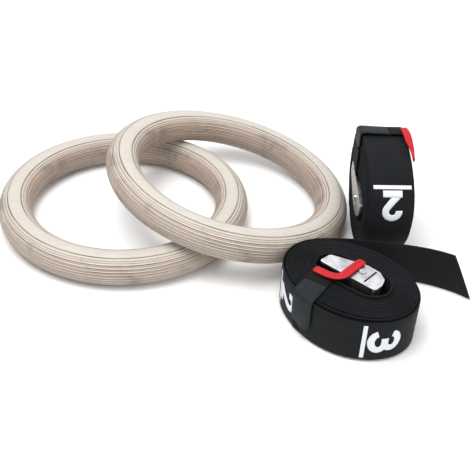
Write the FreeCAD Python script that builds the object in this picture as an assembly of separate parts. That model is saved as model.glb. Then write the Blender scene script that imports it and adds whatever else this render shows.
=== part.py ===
"""Pair of plywood gymnastics rings with two coiled cam-buckle straps.

Units are millimetres, +Z is up and the floor is z = 0.
The origin is the middle of the set's footprint.
+X runs along the longest side of the set, from the rings to the straps.

Each strap is built once in a coil frame and then placed twice:
  coil X  along the buckle, from its anchor bar to its blunt end
  coil Y  from the buckle's base plate to its cam side
  coil Z  along the coil's axis, across the webbing
"""
import FreeCAD
import Part
import math
import os
from FreeCAD import Matrix, Placement, Rotation, Vector

# ---- rings -----------------------------------------------------------------
GRIP_R = 16.0            # half of the 32 mm grip
RING_R = 106.0           # centreline radius: 180 mm inside, 244 mm outside
LEFT_CENTRE = Vector(-102.75, 25.5, GRIP_R)
RIGHT_XY = (-1.15, 40.1)
RIGHT_NORMAL = Vector(0.2075, 0.0298, 0.978)    # leans on the left ring

# ---- webbing ---------------------------------------------------------------
WEB_W = 40.0             # webbing width
WEB_T = 1.6              # webbing thickness
LAY = 0.3                # air left between neighbouring pieces

# ---- coil hole, shared by both straps (coil frame) ---------------------------
HOLE_HALF = 18.5         # half length of the straight part
HOLE_R = 16.5            # end radius
HOLE_Y = 3.0             # hole centre, off the coil centre

# ---- flat coil -------------------------------------------------------------
FLAT_CENTRE = Vector(109.4, -108.6, 21.8)       # rests on its tie, 1.8 mm up
FLAT_TURN = -40.0        # buckle direction in the floor plane, degrees
FLAT_A = 64.0            # outer ellipse, half length
FLAT_B = 48.5            # outer ellipse, half width
FLAT_LEAN = 0.0          # ellipse axis against the buckle axis, degrees
FLAT_BUCKLE_UP = 3.6     # buckle pushed up through the coil

# ---- upright coil ------------------------------------------------------------
UP_CENTRE = Vector(144.2, 10.4, 58.0)
UP_YAW = 4.6             # coil axis against +X, degrees
UP_DIP = 18.4            # buckle axis below the horizontal, degrees
UP_A = 58.0
UP_B = 54.5
UP_LEAN = 71.6           # puts the long axis of the ellipse upright
UP_BUCKLE_UP = -1.5

# ---- buckle (buckle frame: tip at x = 0, base plate at y = 0) ----------------
BUCKLE_TIP = (-29.3, -7.5)      # where the buckle frame sits in the coil frame
CHEEK_IN = 21.0          # inner face of each cheek from the middle
CHEEK_T = 2.0
CHEEK_OUT = CHEEK_IN + CHEEK_T
CHEEK = [(0, 0), (58, 0), (58.3, 10), (55.5, 18), (47, 23.5), (34, 24), (12, 17), (1.5, 13.5)]
CHEEK_FILLET = [2.5, 3.0, 5.0, 6.0, 5.0, 6.0, 6.0, 4.0]
SLIT_X = 44.6            # narrow slit that sets off the blunt end
SLIT_W = 1.6
SLIT_FROM, SLIT_TO = 3.2, 21.8
BASE_T = 2.0
BASE_FROM, BASE_TO = 14.0, 57.0         # base plate, along the buckle
LIP = [(54.5, 4.6), (57.8, 4.6), (57.9, 9), (55.0, 9)]      # end bar over the strap slot
BAR_X, BAR_Y, BAR_R = 5.2, 5.6, 2.5
BAR_PROUD = 0.2          # bar ends outside the cheeks
PIN_X, PIN_Y, PIN_R = 36.0, 13.6, 2.0
PIN_PROUD = 0.3
HEAD_R = 3.2             # riveted pin head
HEAD_FROM, HEAD_TO = 0.1, 1.1           # outside the cheek
DRUM_R = 8.6             # back of the cam
CAM_LOW, CAM_HIGH = 7.0, 10.3    # tooth roots at each end of the toothed part
TOOTH = 1.0
TEETH_FROM, TEETH_TO = 205.0, 285.0     # toothed part, degrees round the pin
PRESS_TAB = [(34.0, 22.0), (22.0, 19.2), (12.0, 16.0), (11.4, 13.6), (22.5, 16.6), (30.0, 16.5)]
GATE_HALF = 6.5          # half width of the spring's pocket in the cam
GATE_R = 5.4
GATE_X, GATE_Y = 50.0, 20.0             # far corner of the pocket's opening
RIDGES, RIDGE_FROM, RIDGE_PITCH = 5, 13.1, 2.2      # thumb grips on the press tab
RIDGE_R, RIDGE_HALF = 0.45, 15.0
LEVER_HALF = CHEEK_IN - 0.4
RUN = 0.05               # radial running clearance
WIRE_R = 0.5             # spring wire
SPRING_R = PIN_R + 1.6   # to the middle of the wire
SPRING_TURNS, SPRING_PITCH = 8, 1.35
SPRING_LEG = 9.0
EYE_GAP, EYE_T = 0.15, 1.5              # webbing eye round the anchor bar
SEWN_T = 2.4             # the strap's sewn end, two layers pressed flat
SEWN_PATH = [(1.4, 5.6), (0.4, 9.0), (-0.3, 13.5), (-1.1, 18.0),
             (1.0, 21.4), (4.8, 23.8), (9.8, 25.0), (21.3, 25.1)]

# ---- tie and pull loop ---------------------------------------------------------
TIE_W = 22.0
TIE_T = 1.5
TIE_REACH = 70.0         # far enough out to clear the coil
TIE_INWARD = 24.0        # how far the tie reaches in across the hole
RIM_START = 5.0          # the outside of the coil lies beyond this
FLAP_R = 9.0             # rounded corners of the flap's end
FLAP_DROP = -12.0        # coil height at which the hanging flap ends
FLAP_STOP = 7.0          # where the flap on the lower face ends
SIDE_SEAM = 5.0          # coil height of the seam on the outside
SEAM_GAP = 0.4
UNDER_STOP = 2.3         # band under the hanging flap stops short of the rim
FLAT_TIE = ((-16.5, -28.0), -81.0)      # point on the coil wall, direction out
UP_TIE_AT = (10.0, 30.0)                # back and height of the tie's point
UP_TIE_TURN = -108.4
RED_W = 7.4
RED_T = 2.4
RED_FLAT = [(-28.2, -15.6, 23.4), (-20.0, -15.3, 23.6), (-12.0, -15.0, 24.4), (-5.5, -14.0, 26.2),
            (-1.8, -11.0, 27.8), (-1.0, -6.0, 28.6), (-1.0, 3.0, 28.6), (-1.0, 10.0, 28.6),
            (-0.8, 17.0, 28.2)]
RED_UP = [(15.5, 50.9), (7.0, 53.0), (-1.7, 53.5), (-10.4, 52.3), (-18.7, 49.6), (-26.5, 45.4)]
RED_UP_Z = 23.4          # beside the upright coil's right-hand face

# ---- free ends of the straps ---------------------------------------------------------
FLAT_TAIL = [(92.5, -52.1), (110.0, -52.0), (127.0, -52.6), (145.0, -54.1), (164.0, -56.3),
             (180.0, -59.3), (193.0, -63.0), (204.0, -67.6), (213.0, -72.3), (224.0, -80.1),
             (228.0, -83.4)]
CUT_TOP_X = 204.2        # where the cut meets the upper edge
CUT_LEAN = 20.0          # how much further out it meets the lower edge
CUT_PAST = 4.0           # the cutting block reaches past both edges
CUT_FAR_X = 260.0
CUT_FROM_Y, CUT_DEEP = -130.0, 100.0
UP_TAIL_FROM, UP_TAIL_TURN = 172.0, 62.0    # start and length round the coil, degrees
UP_TAIL_STEPS = 12


def prism(points, z0, z1, fillets=None):
    """Closed outline in XY, corners rounded, raised from z0 to z1."""
    n = len(points)
    pts = [Vector(p[0], p[1], z0) for p in points]
    edges = []
    ends = []
    for i in range(n):
        p = pts[i]
        a = (pts[i - 1] - p).normalize()
        b = (pts[(i + 1) % n] - p).normalize()
        r = fillets[i] if fillets else 0.0
        half = math.acos(max(-1.0, min(1.0, a.dot(b)))) / 2.0
        if r <= 0.0 or half > 1.55:
            ends.append((p, p, None))
            continue
        cut = r / math.tan(half)
        mid = (a + b).normalize()
        centre = p + mid * (r / math.sin(half))
        ends.append((p + a * cut, p + b * cut, centre - mid * r))
    for i in range(n):
        start, stop, via = ends[i]
        if via is not None:
            edges.append(Part.Arc(start, via, stop).toShape())
        nxt = ends[(i + 1) % n][0]
        if stop.distanceToPoint(nxt) > 1e-6:
            edges.append(Part.LineSegment(stop, nxt).toShape())
    face = Part.Face(Part.Wire(edges))
    return face.extrude(Vector(0, 0, z1 - z0))


def cylinder(x, y, r, z0, z1):
    return Part.makeCylinder(r, z1 - z0, Vector(x, y, z0), Vector(0, 0, 1))


def ellipse_point(a, b, t, grow):
    """Point on an ellipse at parameter t, moved out along its normal."""
    n = Vector(b * math.cos(t), a * math.sin(t), 0).normalize()
    return Vector(a * math.cos(t), b * math.sin(t), 0) + n * grow


def strip(inner, outer, z0, z1):
    """Band between two open lines of points, raised from z0 to z1."""
    low = Part.BSplineCurve()
    low.interpolate([Vector(p.x, p.y, z0) for p in inner])
    top = Part.BSplineCurve()
    top.interpolate([Vector(p.x, p.y, z0) for p in outer])
    first = Part.LineSegment(top.StartPoint, low.StartPoint).toShape()
    last = Part.LineSegment(low.EndPoint, top.EndPoint).toShape()
    wire = Part.Wire([first, low.toShape(), last, top.toShape()])
    return Part.Face(wire).extrude(Vector(0, 0, z1 - z0))


def thicken(path, t):
    """The two side lines of a path, half a thickness to each side."""
    left = []
    right = []
    for i, p in enumerate(path):
        a = path[max(i - 1, 0)]
        b = path[min(i + 1, len(path) - 1)]
        d = (b - a).normalize()
        n = Vector(-d.y, d.x, 0)
        left.append(p - n * (t / 2.0))
        right.append(p + n * (t / 2.0))
    return left, right


def ring(centre, normal):
    torus = Part.makeTorus(RING_R, GRIP_R)
    turn = Rotation(Vector(0, 0, 1), normal)
    torus.Placement = Placement(centre, turn)
    return torus


def right_ring_centre():
    """The right ring touches the floor at its low side."""
    n = Vector(RIGHT_NORMAL).normalize()
    rise = RING_R * math.sqrt(1.0 - n.z ** 2)
    return Vector(RIGHT_XY[0], RIGHT_XY[1], GRIP_R + rise)


def coil_roll(a, b, lean):
    """All inner turns of a coiled strap as one oval ring of webbing."""
    oval = Part.Ellipse(Vector(0, 0, -WEB_W / 2), a, b).toShape()
    body = Part.Face(Part.Wire(oval)).extrude(Vector(0, 0, WEB_W))
    body.rotate(Vector(0, 0, 0), Vector(0, 0, 1), lean)
    h = HOLE_HALF + HOLE_R
    box = [(-h, -HOLE_R), (h, -HOLE_R), (h, HOLE_R), (-h, HOLE_R)]
    box = [(x, y + HOLE_Y) for x, y in box]
    hole = prism(box, -WEB_W, WEB_W, [HOLE_R - 0.01] * 4)
    return body.cut(hole)


def buckle_frame():
    """Channel: two cheeks, a base plate and an end bar over the strap slot."""
    parts = []
    for side in (-1, 1):
        z0 = min(side * CHEEK_IN, side * CHEEK_OUT)
        cheek = prism(CHEEK, z0, z0 + CHEEK_T, CHEEK_FILLET)
        corner = Vector(SLIT_X - SLIT_W / 2, SLIT_FROM, z0 - 1)
        slit = Part.makeBox(SLIT_W, SLIT_TO - SLIT_FROM, CHEEK_T + 2, corner)
        parts.append(cheek.cut(slit))
    base = [(BASE_FROM, 0), (BASE_TO, 0), (BASE_TO, BASE_T), (BASE_FROM, BASE_T)]
    parts.append(prism(base, -CHEEK_IN, CHEEK_IN))
    parts.append(prism(LIP, -CHEEK_IN, CHEEK_IN))
    body = parts[0].multiFuse(parts[1:])
    for x, y, r in ((BAR_X, BAR_Y, BAR_R), (PIN_X, PIN_Y, PIN_R)):
        body = body.cut(cylinder(x, y, r + RUN, -CHEEK_OUT - 1, CHEEK_OUT + 1))
    return body.removeSplitter()


def anchor_bar():
    end = CHEEK_OUT + BAR_PROUD
    return cylinder(BAR_X, BAR_Y, BAR_R, -end, end)


def cam_pin():
    """Riveted pin: a plain shank with a flat head outside each cheek."""
    end, near, far = CHEEK_OUT + PIN_PROUD, CHEEK_OUT + HEAD_FROM, CHEEK_OUT + HEAD_TO
    pin = cylinder(PIN_X, PIN_Y, PIN_R, -end, end)
    low = cylinder(PIN_X, PIN_Y, HEAD_R, -far, -near)
    top = cylinder(PIN_X, PIN_Y, HEAD_R, near, far)
    return pin.multiFuse([low, top]).removeSplitter()


def cam_radius(deg):
    """Cam outline: grows from 195 to 275 degrees, so turning it opens a gap."""
    if deg < 195:
        return DRUM_R
    if deg < 275:
        return CAM_LOW + (CAM_HIGH - CAM_LOW) * (deg - 195) / 80.0
    if deg < 300:
        return CAM_HIGH + (DRUM_R - CAM_HIGH) * (deg - 275) / 25.0
    return DRUM_R


def cam_lever():
    """Toothed cam and its press tab, cast in one piece."""
    pts = []
    steps = 30
    for i in range(steps):
        for share, bump in ((0.0, 0.0), (0.55, TOOTH)):
            deg = 360.0 * (i + share) / steps
            ang = math.radians(deg)
            r = cam_radius(deg)
            if TEETH_FROM <= deg <= TEETH_TO:
                r += bump
            pts.append((PIN_X + r * math.cos(ang), PIN_Y + r * math.sin(ang)))
    drum = prism(pts, -LEVER_HALF, LEVER_HALF)
    body = drum.fuse(prism(PRESS_TAB, -LEVER_HALF, LEVER_HALF))
    body = body.cut(cylinder(PIN_X, PIN_Y, GATE_R, -GATE_HALF, GATE_HALF))
    gate = [(PIN_X - 3, 1), (GATE_X, 1), (GATE_X, GATE_Y), (PIN_X, GATE_Y)]
    body = body.cut(prism(gate, -GATE_HALF, GATE_HALF))
    body = body.cut(cylinder(PIN_X, PIN_Y, PIN_R + RUN, -LEVER_HALF - 1, LEVER_HALF + 1))
    (x1, y1), (x0, y0) = PRESS_TAB[1:3]
    for k in range(RIDGES):
        x = RIDGE_FROM + RIDGE_PITCH * k
        y = y0 + (x - x0) * (y1 - y0) / (x1 - x0)
        body = body.fuse(cylinder(x, y, RIDGE_R, -RIDGE_HALF, RIDGE_HALF))
    return body.removeSplitter()


def cam_spring():
    """Torsion spring round the pin with one short leg towards the base."""
    height = SPRING_PITCH * SPRING_TURNS
    helix = Part.makeHelix(SPRING_PITCH, height, SPRING_R)
    helix.translate(Vector(PIN_X, PIN_Y, -height / 2.0))
    start = Vector(PIN_X + SPRING_R, PIN_Y, -height / 2.0)
    along = Vector(0, 1, SPRING_PITCH / (2 * math.pi * SPRING_R))
    profile = Part.Wire(Part.makeCircle(WIRE_R, start, along))
    coil = Part.Wire(helix.Edges).makePipeShell([profile], True, True)
    leg = Part.makeCylinder(WIRE_R, SPRING_LEG, start, Vector(0, -1, 0))
    knee = Part.makeSphere(WIRE_R * 1.04, start)
    return coil.multiFuse([leg, knee])


def anchor_loop():
    """Sewn end of the webbing: round the bar, then two layers up along the hole.

    The coil winds clockwise outwards, so the strap leaves on the bar's far side.
    """
    z0, z1 = -WEB_W / 2, WEB_W / 2
    inner = BAR_R + EYE_GAP
    eye = cylinder(BAR_X, BAR_Y, inner + EYE_T, z0, z1)
    left, right = thicken([Vector(x, y, 0) for x, y in SEWN_PATH], SEWN_T)
    body = eye.fuse(strip(left, right, z0, z1))
    bore = cylinder(BAR_X, BAR_Y, inner, z0 - 1, z1 + 1)
    return body.cut(bore).removeSplitter()


def grown_oval(a, b, lean, grow, z0, z1):
    """The coil's outer oval, larger by grow, between two heights."""
    n = 48
    pts = [ellipse_point(a, b, 2 * math.pi * i / n, grow) for i in range(n)]
    curve = Part.BSplineCurve()
    curve.interpolate([Vector(p.x, p.y, z0) for p in pts], PeriodicFlag=True)
    body = Part.Face(Part.Wire(curve.toShape())).extrude(Vector(0, 0, z1 - z0))
    body.rotate(Vector(0, 0, 0), Vector(0, 0, 1), lean)
    return body


def grown_hole(grow, z0, z1):
    """The coil's hole, smaller by grow, between two heights."""
    r = HOLE_R - grow
    h = HOLE_HALF + r
    box = [(-h, HOLE_Y - r), (h, HOLE_Y - r), (h, HOLE_Y + r), (-h, HOLE_Y + r)]
    return prism(box, z0, z1, [r - 0.01] * 4)


def tie_frame(point, turn):
    """Tie frame: X runs out across the coil wall, Y is the tie's width."""
    return Placement(Vector(point[0], point[1], 0), Rotation(Vector(0, 0, 1), turn))


def tie_slab(point, turn, s0, s1, z0, z1):
    """Block as wide as the tie, from s0 to s1 along it."""
    box = Part.makeBox(s1 - s0, TIE_W, z1 - z0, Vector(s0, -TIE_W / 2, z0))
    box.Placement = tie_frame(point, turn)
    return box


def round_end(point, turn, s0, s1, low, high, r):
    """Block over the tie with its lower corners rounded, seen along X."""
    w = TIE_W / 2
    outline = [(-w, low), (w, low), (w, high), (-w, high)]
    body = prism(outline, s0, s1, [r, r, 0, 0])
    m = Matrix(0, 0, 1, 0, 1, 0, 0, 0, 0, 1, 0, 0, 0, 0, 0, 1)
    body = body.transformGeometry(m)
    body.Placement = tie_frame(point, turn)
    return body


def shell(coil, inner, outer, z0, z1):
    """Skin round the coil wall between two offsets, open above and below."""
    a, b, lean = coil
    out = grown_oval(a, b, lean, outer, z0, z1)
    out = out.cut(grown_oval(a, b, lean, inner, z0 - 1, z1 + 1))
    mouth = grown_hole(inner, z0, z1).cut(grown_hole(outer, z0 - 1, z1 + 1))
    return out, mouth


def plate(coil, grow_in, grow_out, z0, z1):
    """Flat skin over one end face of the coil."""
    a, b, lean = coil
    body = grown_oval(a, b, lean, grow_out, z0, z1)
    return body.cut(grown_hole(grow_in, z0 - 1, z1 + 1))


def rim_tie(coil, point, turn):
    """Tie whose flap starts on the upper face and hangs over the rim.

    The band goes the rest of the way round, through the hole.
    """
    t = TIE_T
    face = WEB_W / 2 + LAY
    skin, mouth = shell(coil, LAY, LAY + t, -face - t, face + t)
    over, _ = shell(coil, 2 * LAY + t, 2 * LAY + 2 * t, -face - 2 * t - LAY, face + t)
    lid = plate(coil, LAY + t, 2 * LAY + 2 * t, face, face + t)
    flap = lid.common(tie_slab(point, turn, LAY, TIE_REACH, face, face + t))
    drop = round_end(point, turn, RIM_START, TIE_REACH, FLAP_DROP, face + t, FLAP_R)
    flap = flap.fuse(over.common(drop))
    band = mouth.fuse(plate(coil, LAY + t, LAY + t, -face - t, -face))
    inner_lid = plate(coil, LAY + t, LAY, face, face + t)
    band = band.fuse(inner_lid.common(tie_slab(point, turn, -TIE_REACH, 0.0, face, face + t)))
    under = tie_slab(point, turn, RIM_START, TIE_REACH, -face - t, face - UNDER_STOP)
    return flap, band.fuse(skin.common(under))


def side_tie(coil, point, turn, stop):
    """Tie whose flap starts on the outside and lies on the lower face.

    The flap ends rounded at stop; the band goes the rest of the way.
    """
    t = TIE_T
    face = WEB_W / 2 + LAY
    w = TIE_W / 2
    skin, mouth = shell(coil, LAY, LAY + t, -face - t, face + t)
    low = plate(coil, LAY + t, LAY + t, -face - t, -face)
    tip = [(stop, -w), (TIE_REACH, -w), (TIE_REACH, w), (stop, w)]
    tongue = prism(tip, -TIE_REACH, TIE_REACH, [FLAP_R, 0, 0, FLAP_R])
    tongue.Placement = tie_frame(point, turn)
    flap = skin.common(tie_slab(point, turn, RIM_START, TIE_REACH, -face - t, SIDE_SEAM))
    flap = flap.fuse(low.common(tongue))
    band = mouth.fuse(plate(coil, LAY + t, LAY + t, face, face + t))
    rest = tie_slab(point, turn, RIM_START, TIE_REACH, SIDE_SEAM + LAY, face + t)
    band = band.fuse(skin.common(rest))
    inner = tie_slab(point, turn, -TIE_REACH, stop - SEAM_GAP, -face - t, -face)
    return flap, band.fuse(low.common(inner))


def trimmed_tie(pieces, point, turn):
    """Flap and band cut to the tie's width, on one side of the hole."""
    slab = tie_slab(point, turn, -TIE_INWARD, TIE_REACH, -TIE_REACH, TIE_REACH)
    flap, band = pieces
    return flap.common(slab).removeSplitter(), band.common(slab).removeSplitter()


def pull_tab(points):
    """Soft red tab: a narrow band that follows a line, thickness along Z."""
    curve = Part.BSplineCurve()
    curve.interpolate([Vector(p[0], p[1], p[2]) for p in points])
    spine = Part.Wire(curve.toShape())
    d = curve.tangent(curve.FirstParameter)[0]
    side = Vector(-d.y, d.x, 0).normalize() * (RED_W / 2)
    up = Vector(0, 0, RED_T / 2)
    p = curve.StartPoint
    corners = [p - side - up, p + side - up, p + side + up, p - side + up]
    profile = Part.makePolygon(corners + [corners[0]])
    sweep = Part.BRepOffsetAPI.MakePipeShell(spine)
    sweep.setBiNormalMode(Vector(0, 0, 1))
    sweep.add(profile)
    sweep.build()
    sweep.makeSolid()
    return sweep.shape()


def save(name, shape, place):
    body = shape.copy()
    body.Placement = place.multiply(body.Placement)
    if len(body.Solids) == 1:
        body = body.Solids[0]
    body.exportStep("parts/" + name + ".step")
    box = body.BoundBox
    spans = ((box.XMin, box.XMax), (box.YMin, box.YMax), (box.ZMin, box.ZMax))
    text = " ".join("%.1f..%.1f" % span for span in spans)
    print("%-24s solids %d vol %.0f  %s" % (name, len(body.Solids), body.Volume, text))
    return body


def to_coil(back, height):
    """Point on the upright coil, given back from the middle and up."""
    c, s = math.cos(math.radians(UP_DIP)), math.sin(math.radians(UP_DIP))
    return (-c * back - s * height, s * back - c * height)


def flat_place():
    return Placement(FLAT_CENTRE, Rotation(Vector(0, 0, 1), FLAT_TURN))


def upright_place():
    yaw, dip = math.radians(UP_YAW), math.radians(UP_DIP)
    axis = Vector(math.cos(yaw), math.sin(yaw), 0)
    back = Vector(-math.sin(yaw), math.cos(yaw), 0)
    u = back * -math.cos(dip) - Vector(0, 0, math.sin(dip))
    w = back * math.sin(dip) - Vector(0, 0, math.cos(dip))
    m = Matrix(u.x, w.x, axis.x, 0, u.y, w.y, axis.y, 0, u.z, w.z, axis.z, 0, 0, 0, 0, 1)
    return Placement(UP_CENTRE, Rotation(m))


def flat_tail():
    """Free end of the flat coil's strap, on edge, cut off at a slant."""
    z0 = FLAT_CENTRE.z - WEB_W / 2
    left, right = thicken([Vector(x, y, 0) for x, y in FLAT_TAIL], WEB_T)
    body = strip(left, right, z0, z0 + WEB_W)
    top, past = z0 + WEB_W, CUT_PAST
    lean = CUT_LEAN * past / WEB_W
    slant = [(CUT_TOP_X, top), (CUT_TOP_X + CUT_LEAN, z0), (CUT_TOP_X + CUT_LEAN + lean, z0 - past),
             (CUT_FAR_X, z0 - past), (CUT_FAR_X, top + past), (CUT_TOP_X - lean, top + past)]
    pts = [Vector(x, CUT_FROM_Y, z) for x, z in slant]
    cutter = Part.Face(Part.makePolygon(pts + [pts[0]])).extrude(Vector(0, CUT_DEEP, 0))
    return body.cut(cutter)


def upright_tail():
    """Last stretch of the upright coil's strap, flat on its back."""
    pts = []
    for k in range(UP_TAIL_STEPS + 1):
        ang = math.radians(UP_TAIL_FROM + UP_TAIL_TURN * k / UP_TAIL_STEPS)
        n = Vector(-math.cos(ang) * UP_A, math.sin(ang) * UP_B, 0).normalize()
        back = -math.cos(ang) * UP_B + n.x * (LAY + WEB_T / 2)
        height = math.sin(ang) * UP_A + n.y * (LAY + WEB_T / 2)
        x, y = to_coil(back, height)
        pts.append(Vector(x, y, 0))
    left, right = thicken(pts, WEB_T)
    return strip(left, right, -WEB_W / 2, WEB_W / 2)


def strap_set(prefix, place, coil, buckle_up, tie, red):
    buckle = place.multiply(Placement(Vector(BUCKLE_TIP[0], BUCKLE_TIP[1], buckle_up), Rotation()))
    out = {}
    out["webbing_roll"] = save(prefix + "_webbing_roll", coil_roll(*coil), place)
    out["buckle_frame"] = save(prefix + "_buckle_frame", buckle_frame(), buckle)
    out["anchor_bar"] = save(prefix + "_anchor_bar", anchor_bar(), buckle)
    out["anchor_loop"] = save(prefix + "_anchor_loop", anchor_loop(), buckle)
    out["cam_lever"] = save(prefix + "_cam_lever", cam_lever(), buckle)
    out["cam_pin"] = save(prefix + "_cam_pin", cam_pin(), buckle)
    out["cam_spring"] = save(prefix + "_cam_spring", cam_spring(), buckle)
    flap, band = tie
    out["tie_flap"] = save(prefix + "_tie_flap", flap, place)
    out["tie_band"] = save(prefix + "_tie_band", band, place)
    out["pull_tab"] = save(prefix + "_pull_tab", pull_tab(red), place)
    return out


def main():
    os.makedirs("parts", exist_ok=True)
    here = Placement()
    made = {}
    made["ring_left"] = save("ring_left", ring(LEFT_CENTRE, Vector(0, 0, 1)), here)
    made["ring_right"] = save("ring_right", ring(right_ring_centre(), RIGHT_NORMAL), here)

    flat_coil = (FLAT_A, FLAT_B, FLAT_LEAN)
    tie_flat = trimmed_tie(rim_tie(flat_coil, *FLAT_TIE), *FLAT_TIE)
    flat = strap_set("flat", flat_place(), flat_coil, FLAT_BUCKLE_UP, tie_flat, RED_FLAT)
    made.update({"flat_" + k: v for k, v in flat.items()})
    made["flat_webbing_tail"] = save("flat_webbing_tail", flat_tail(), here)

    red_up = [to_coil(b, c) + (RED_UP_Z,) for b, c in RED_UP]
    up_coil = (UP_A, UP_B, UP_LEAN)
    up_tie = (to_coil(*UP_TIE_AT), UP_TIE_TURN)
    tie_up = trimmed_tie(side_tie(up_coil, *up_tie, FLAP_STOP), *up_tie)
    up = strap_set("upright", upright_place(), up_coil, UP_BUCKLE_UP, tie_up, red_up)
    made.update({"upright_" + k: v for k, v in up.items()})
    made["upright_webbing_tail"] = save("upright_webbing_tail", upright_tail(), upright_place())

    total = FreeCAD.BoundBox()
    for shape in made.values():
        total.add(shape.BoundBox)
    print("ALL", total)
    return made


main()
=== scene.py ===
"""Looks of the gymnastics rings set: two plywood rings, two coiled straps."""
import bpy
import math
from mathutils import Matrix, Vector, noise


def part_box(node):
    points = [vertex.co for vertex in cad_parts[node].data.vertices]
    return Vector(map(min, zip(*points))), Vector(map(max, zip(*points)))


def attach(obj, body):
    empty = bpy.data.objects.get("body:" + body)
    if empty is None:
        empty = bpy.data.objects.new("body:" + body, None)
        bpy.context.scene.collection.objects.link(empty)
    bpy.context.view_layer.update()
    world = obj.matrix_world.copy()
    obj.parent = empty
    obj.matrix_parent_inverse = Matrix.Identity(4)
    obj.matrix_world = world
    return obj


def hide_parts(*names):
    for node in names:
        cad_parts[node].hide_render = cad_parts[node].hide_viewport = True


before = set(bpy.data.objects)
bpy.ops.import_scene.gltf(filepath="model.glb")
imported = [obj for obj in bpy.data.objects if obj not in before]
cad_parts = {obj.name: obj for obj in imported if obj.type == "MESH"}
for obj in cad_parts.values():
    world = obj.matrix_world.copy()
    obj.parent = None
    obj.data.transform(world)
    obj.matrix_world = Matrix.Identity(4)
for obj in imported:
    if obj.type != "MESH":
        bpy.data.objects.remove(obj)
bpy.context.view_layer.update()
MM = 0.001

# ---- sizes shared with the CAD source, in millimetres --------------------------
GRIP_R, RING_R = 16.0, 106.0
RIGHT_NORMAL = Vector((0.2075, 0.0298, 0.978)).normalized()
PLY, PLIES = 1.4, 23            # veneer thickness; an odd number, so one is in the middle
WEB_W, WEB_T = 40.0, 1.5
HOLE_HALF, HOLE_R, HOLE_Y = 18.5, 16.5, 3.0
TIP = Vector((-29.3, -7.5))     # buckle frame in the coil frame
TIE_W, TIE_T, LAY = 22.0, 1.5, 0.3
FLAT_TURN = math.radians(-40.0)
YAW, DIP = math.radians(4.6), math.radians(18.4)
RIB, YARN = 0.00095, 0.0006     # half the spacing of weft ribs and yarns, in metres
RING_STEPS = 260
NEAR_LINE = (-0.34, -0.17, 0.0, 0.17, 0.34, 0.7)    # profile points about a glue line
GROOVE, GROOVE_VARIES, DENT = 0.20, 0.14, 0.03
LINE_STEP = 2.0                 # spacing of the points on a strap's centre line
FAR = 80.0                      # beyond any outline, for the search along a ray
SEWN_TO, SEWN_EASE, SEWN_THIN = 75.0, 20.0, 0.38    # two sewn layers are pressed thinner
END_THIN, EDGE_WAVE = 0.6, 0.10
SLANT_OVER = 60.0               # the free end's slanted cut is spread over this length
FREE_CUT = WEB_W / 2 * 1.12
SEAT, FLAT_EASE, UP_EASE = 90.0, 260.0, 200.0       # strap at the buckle, then easing off


# ---- small helpers ----------------------------------------------------------
def centre(node):
    low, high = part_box(node)
    return (low + high) / 2.0


def smoothstep(t):
    t = max(0.0, min(1.0, t))
    return t * t * (3.0 - 2.0 * t)


def wobble(x, seed):
    """Smooth repeatable noise from -1 to 1 along a line."""
    return noise.noise(Vector((x, seed * 17.3, seed * 3.1)))


def make(name, verts, faces, mat, layout=None):
    """New smooth mesh object; layout is the per-vertex place its material reads."""
    me = bpy.data.meshes.new(name)
    me.from_pydata([tuple(v) for v in verts], [], faces)
    if layout:
        layer = me.attributes.new("layout", "FLOAT_VECTOR", "POINT")
        layer.data.foreach_set("vector", [c for point in layout for c in point])
    me.shade_smooth()
    me.materials.append(mat)
    obj = bpy.data.objects.new(name, me)
    bpy.context.scene.collection.objects.link(obj)
    return obj


def settle(obj, body, slot, *nodes):
    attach(obj, body)
    if nodes:
        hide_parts(*nodes)
    return obj


def loft_faces(rings, count):
    """Quads between closed rings of vertices, with a cap at each end."""
    faces = []
    for i in range(rings - 1):
        for j in range(count):
            k = (j + 1) % count
            faces.append((i * count + j, i * count + k,
                          (i + 1) * count + k, (i + 1) * count + j))
    faces.append(tuple(range(count - 1, -1, -1)))
    faces.append(tuple(range((rings - 1) * count, rings * count)))
    return faces


def spline(points, step):
    """Evenly spaced points along a smooth curve through the given ones."""
    pts = [points[0] * 2 - points[1]] + list(points) + [points[-1] * 2 - points[-2]]
    fine = []
    for i in range(1, len(pts) - 2):
        a, b, c, d = pts[i - 1:i + 3]
        n = max(2, int((c - b).length / (step * 0.25)))
        for k in range(n):
            t = k / n
            fine.append(0.5 * (2 * b + (c - a) * t + (2 * a - 5 * b + 4 * c - d) * t * t
                               + (3 * b - a - 3 * c + d) * t ** 3))
    fine.append(pts[-2])
    return resample(fine, step)


def resample(points, step):
    length = sum((b - a).length for a, b in zip(points, points[1:]))
    count = max(2, round(length / step))
    gap = length / count
    out = [points[0].copy()]
    run, want = 0.0, gap
    for a, b in zip(points, points[1:]):
        seg = (b - a).length
        while seg > 1e-9 and want <= run + seg + 1e-6 and len(out) < count:
            out.append(a.lerp(b, (want - run) / seg))
            want += gap
        run += seg
    out.append(points[-1].copy())
    return out


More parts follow.
